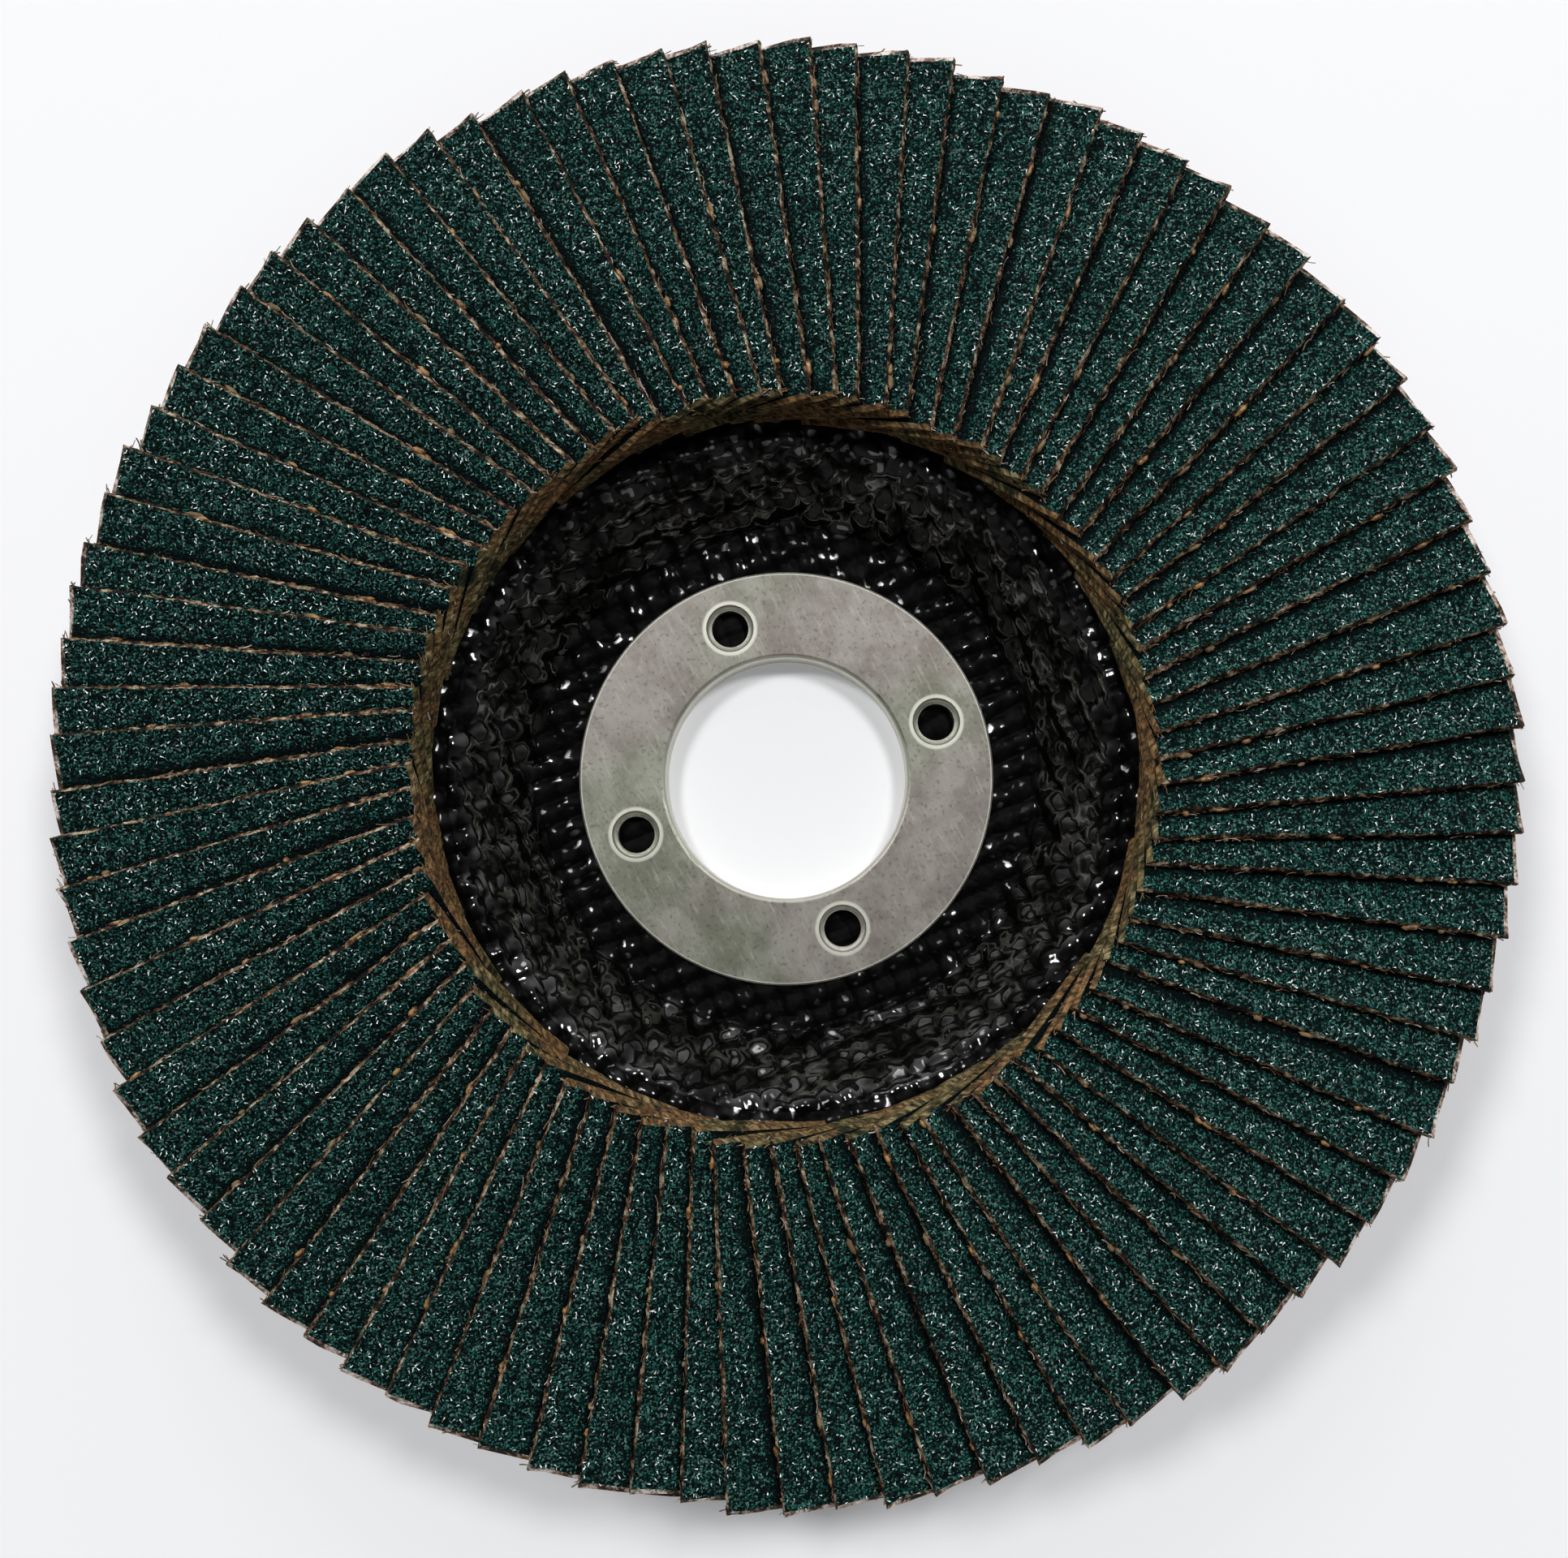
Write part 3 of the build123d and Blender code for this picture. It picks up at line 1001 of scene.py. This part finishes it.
def grow_weave():
    """The tree that presses the woven yarns into the plate's skin and sinks the eyelets' pockets."""
    sizes = {
        "Front Pitch": 2.05,
        "Front Height": 0.45,
        "Back Pitch": 3.0,
        "Back Height": 0.22,
        "Yarn Turn": math.radians(22),
        "Waver": 0.6,
        "Wall Height": 0.2,
        "Wall Gloss": 0.12,
        "Hub Flatness": 0.5,
        "Pocket Margin": 0.35,
    }
    g = Growth("weave_growth", sizes, takes_mesh=True)
    x, y, z = g.parts(g.node("GeometryNodeInputPosition"))
    x, y, z = x / MM, y / MM, z / MM
    flat = g.vector(x, y, z)
    radius = from_axis(x, y)
    normal_x, normal_y, normal_z = g.parts(g.node("GeometryNodeInputNormal"))
    front = normal_z > 0.1
    wall = front * (normal_z < 0.85)

    # where the yarns run, and how high they stand
    pitch = front * g.size("Front Pitch") + (1.0 - front) * g.size("Back Pitch")
    waver_x = (g.noise(flat, 0.22, 1.0) - 0.5) * g.size("Waver") * 2.0
    waver_y = (g.noise(flat, 0.19, 1.0, 0.6) - 0.5) * g.size("Waver") * 2.0
    turn = g.size("Yarn Turn")
    u = (x * turn.cos() + y * turn.sin() + waver_x) / pitch
    v = (y * turn.cos() - x * turn.sin() + waver_y) / pitch
    yarn_height = yarn_tops(u, v, 0.0).most(yarn_tops(v, u, 1.0)).most(0.0)
    resin = g.noise(flat, 0.4, 2.0).ease(0.35, 0.6) * 0.5 + 0.5
    lumps = (g.noise(flat, 1.1, 1.0) - 0.5) * 0.2
    relief = yarn_height * resin + lumps
    tall = front * g.size("Front Height") + wall * g.size("Wall Height")
    tall = tall + (1.0 - front) * g.size("Back Height")

    # the yarns show between the ring and the flaps, and on the back between the hub and the rim
    past_ring = radius.ease(FLANGE_RADIUS - 1.0, FLANGE_RADIUS)
    front_clear = past_ring * radius.fall(INNER_REACH + 0.3, INNER_REACH + 1.2)
    past_hub = radius.ease(HUB_FLAT_RADIUS - 3.0, HUB_FLAT_RADIUS - 1.0)
    back_clear = past_hub * radius.fall(PLATE_RADIUS - 1.5, PLATE_RADIUS - 0.6)
    where = front * front_clear + (normal_z < -0.1) * back_clear
    lift = relief * tall * where * MM

    pocket = eyelet_distance(x, y) < EYELET_WALL + g.size("Pocket Margin")
    sink = pocket * (normal_z > 0.5) * (EYELET_POCKET * MM)
    hub = front * (1.0 - wall)
    shown_height = yarn_height * (1.0 - hub * g.size("Hub Flatness")) + wall * g.size("Wall Gloss")
    mesh = g.tagged(Sum(g, g.inputs.outputs[0]), "yarn_height", shown_height)
    mesh = g.moved(mesh, offset=g.vector(normal_x * lift, normal_y * lift, normal_z * lift - sink))
    mesh = g.tagged(mesh, "finish", 0.0, "FACE")
    g.finish([mesh], [pressed_glass_cloth()], smooth=True)
    return g.tree


def woven_plate():
    plate = grown("woven_plate", grow_weave(), plate_skin())
    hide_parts("backing_plate")


# --- camera, light and floor ---
CAMERA_PLACE = Vector((3.0, -10.4, 160.0)) * MM
CAMERA_AIM = Vector((-0.0037, 0.0266, -1.0))
LENS = 39.11
LENS_SHIFT = (-0.0181, 0.0424)
LAMPS = [  # name, bearing and elevation in degrees, distance and size in metres, share of full light
    ("right_key", 47.0, 57.0, 1.4, 0.32, 0.375),
    ("left_key", 137.0, 57.0, 1.4, 0.32, 0.355),
    ("window", 92.0, 32.0, 1.4, 0.42, 0.05),
    ("fill", 272.0, 50.0, 1.4, 0.86, 0.05),
]
STUDIO_OVERHEAD = 0.02  # strengths of the world's light
STUDIO_HORIZON = 0.12
STUDIO_NORTH = 1.1
STUDIO_SEEN = 0.88
FLOOR_HALF = 1.5
FLOOR_DROP = 0.02 * MM  # keeps the floor just under the hub's back


def camera():
    forward = CAMERA_AIM.normalized()
    right = forward.cross(Vector((0.0, 1.0, 0.0))).normalized()
    up = right.cross(forward)
    data = bpy.data.cameras.new("camera")
    data.sensor_width = 36.0
    data.lens = LENS
    data.shift_x, data.shift_y = LENS_SHIFT
    data.clip_start = 0.001
    data.clip_end = 10.0
    made = bpy.data.objects.new("camera", data)
    turn = Matrix((right, up, -forward)).transposed().to_4x4()
    made.matrix_world = Matrix.Translation(CAMERA_PLACE) @ turn
    bpy.context.scene.collection.objects.link(made)
    bpy.context.scene.camera = made


def lamp(name, bearing, elevation, distance, size, share):
    """A round lamp that gives a level surface this share of full light."""
    bearing, elevation = math.radians(bearing), math.radians(elevation)
    data = bpy.data.lights.new(name, "AREA")
    data.shape = "DISK"
    data.size = size
    data.energy = share * math.pi**2 * distance**2 / math.sin(elevation)
    level = distance * math.cos(elevation)
    rise = distance * math.sin(elevation)
    place = Vector((level * math.cos(bearing), level * math.sin(bearing), rise))
    made = bpy.data.objects.new(name, data)
    made.location = place
    made.rotation_euler = (-place).to_track_quat("-Z", "Y").to_euler()
    bpy.context.scene.collection.objects.link(made)


def world():
    """A dim studio, brightest at the horizon and to the north, that shows pale to the camera."""
    made = bpy.data.worlds.new("studio")
    made.use_nodes = True
    bpy.context.scene.world = made
    g = Graph(made.node_tree)
    background = made.node_tree.nodes["Background"]
    background.inputs["Color"].default_value = (1.0, 1.0, 1.0, 1.0)
    _, north, up = g.parts(g.node("ShaderNodeTexCoord", output="Generated"))
    low = north.most(0.0) * STUDIO_NORTH + STUDIO_HORIZON
    shed = STUDIO_OVERHEAD + (1.0 - up.abs()) * low
    seen = g.node("ShaderNodeLightPath", output="Is Camera Ray")
    g.feed(background.inputs["Strength"], shed + seen * (STUDIO_SEEN - shed))


def floor():
    mesh = bpy.data.meshes.new("floor")
    half = FLOOR_HALF
    corners = [(-half, -half, 0), (half, -half, 0), (half, half, 0), (-half, half, 0)]
    mesh.from_pydata(corners, [], [(0, 1, 2, 3)])
    mesh.transform(Matrix.Translation((0, 0, -FLOOR_DROP)))
    mesh.materials.append(floor_paint())
    piece = bpy.data.objects.new("floor", mesh)
    bpy.context.scene.collection.objects.link(piece)


def dress(node, finish):
    """Puts a finish on a CAD node."""
    piece = frame["nodes"][node]
    for slot in piece.material_slots:
        slot.material = finish
    if not piece.material_slots:
        piece.data.materials.append(finish)


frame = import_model()
camera()
for setting in LAMPS:
    lamp(*setting)
world()
floor()
flap_fan()
woven_plate()
dress("centre_ring", zinc_plate())
dress("adhesive_bed", set_glue())
bpy.context.scene.view_settings.view_transform = "Standard"
